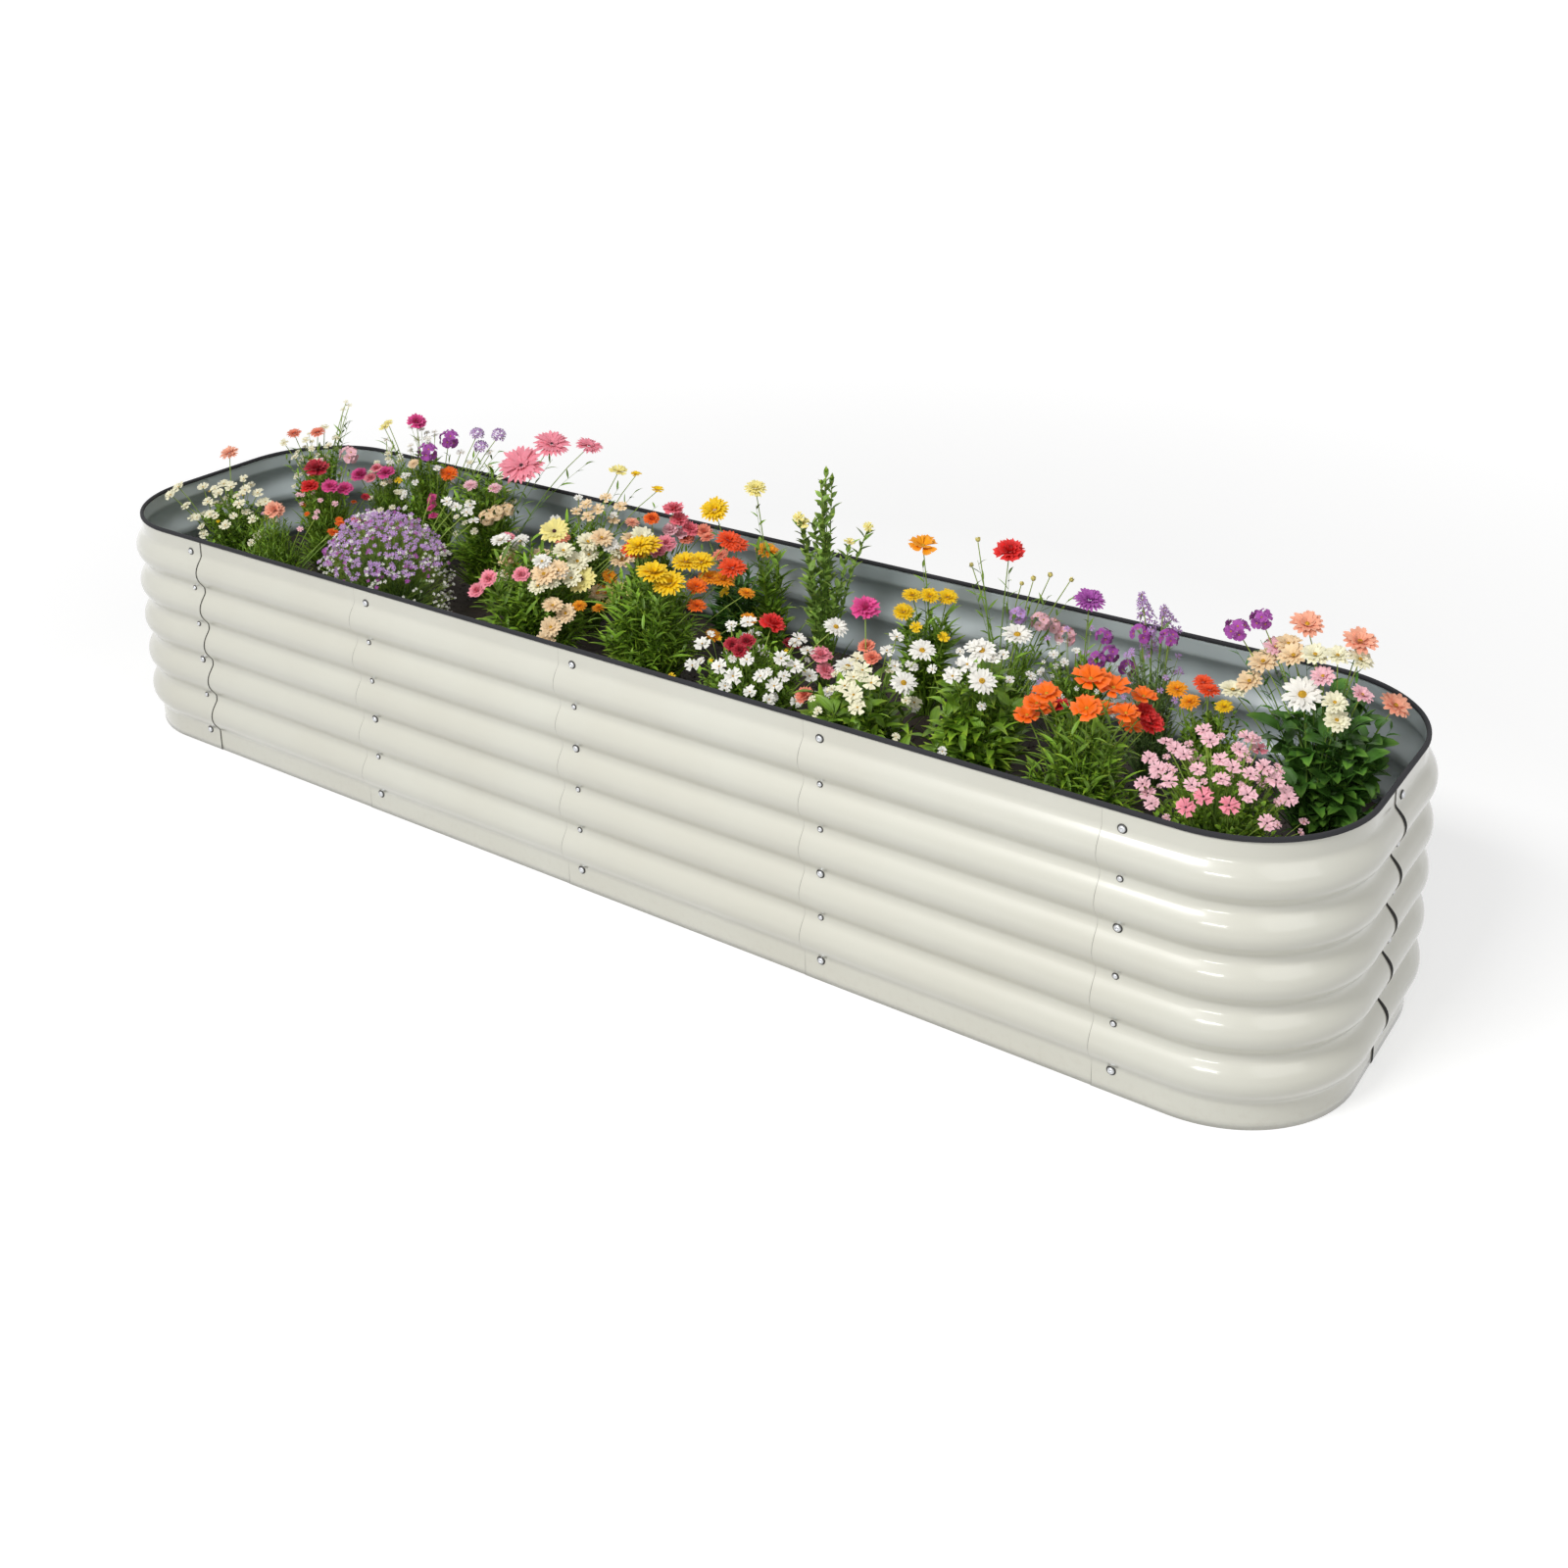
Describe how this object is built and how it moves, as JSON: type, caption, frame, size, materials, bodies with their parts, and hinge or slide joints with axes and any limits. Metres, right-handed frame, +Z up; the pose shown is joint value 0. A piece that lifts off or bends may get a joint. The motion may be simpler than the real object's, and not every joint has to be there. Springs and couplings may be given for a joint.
{
  "type": "raised garden bed",
  "caption": "Long open-bottomed raised garden bed of bolted corrugated steel panels with rounded ends and a rubber rim, filled with soil and planted with mixed flowers.",
  "frame": {"origin": "middle of the bed in plan, on the ground it stands on", "axes": "+X along the bed to the right seen from the front, +Y from the front to the back, +Z up"},
  "size_m": [2.438, 0.6102, 0.6443],
  "materials": {
    "coated_steel": "smooth ivory coating outside, pale blue-grey coating inside",
    "edge_rubber": "glossy black",
    "bright_steel": "bright zinc plated",
    "potting_soil": "loose dark bark and peat potting soil",
    "green_leaves": "soft living leaves and stems",
    "white_petals": "soft white petals",
    "cream_petals": "soft cream and peach petals",
    "yellow_petals": "soft yellow petals",
    "orange_petals": "soft orange petals",
    "red_petals": "soft red petals",
    "pink_petals": "soft pink petals",
    "purple_petals": "soft purple petals"
  },
  "bodies": {
    "root": {"corner_panel_back_right": "coated_steel", "corner_panel_back_left": "coated_steel", "corner_panel_front_left": "coated_steel", "corner_panel_front_right": "coated_steel", "side_panel_front_1": "coated_steel", "side_panel_front_2": "coated_steel", "side_panel_front_3": "coated_steel", "side_panel_front_4": "coated_steel", "side_panel_back_1": "coated_steel", "side_panel_back_2": "coated_steel", "side_panel_back_3": "coated_steel", "side_panel_back_4": "coated_steel", "rim_edging": "edge_rubber", "soil_fill": "potting_soil", "large_head_bolts": "bright_steel", "small_head_bolts": "bright_steel", "bolt_nuts": "bright_steel", "tie_rods": "bright_steel", "cream_violas": "cream_petals", "salmon_cushion": "pink_petals", "coral_stalks": "orange_petals", "red_carnations": "red_petals", "rose_pinks": "pink_petals", "purple_phlox": "purple_petals", "lavender_mound": "purple_petals", "pink_gerberas": "pink_petals", "yellow_stems": "yellow_petals", "apricot_cluster": "orange_petals", "peach_daisies": "cream_petals", "rose_cluster": "pink_petals", "yellow_mums": "yellow_petals", "orange_zinnias": "orange_petals", "tall_stalk": "green_leaves", "white_verbena": "white_petals", "leafy_stalk": "green_leaves", "white_stocks": "white_petals", "yellow_daisies": "yellow_petals", "white_daisies": "white_petals", "red_ranunculus": "red_petals", "purple_scabious": "purple_petals", "orange_poppies": "orange_petals", "purple_spikes": "purple_petals", "orange_marigolds": "orange_petals", "peach_dahlias": "cream_petals", "pink_verbena": "pink_petals"}
  },
  "joints": []
}
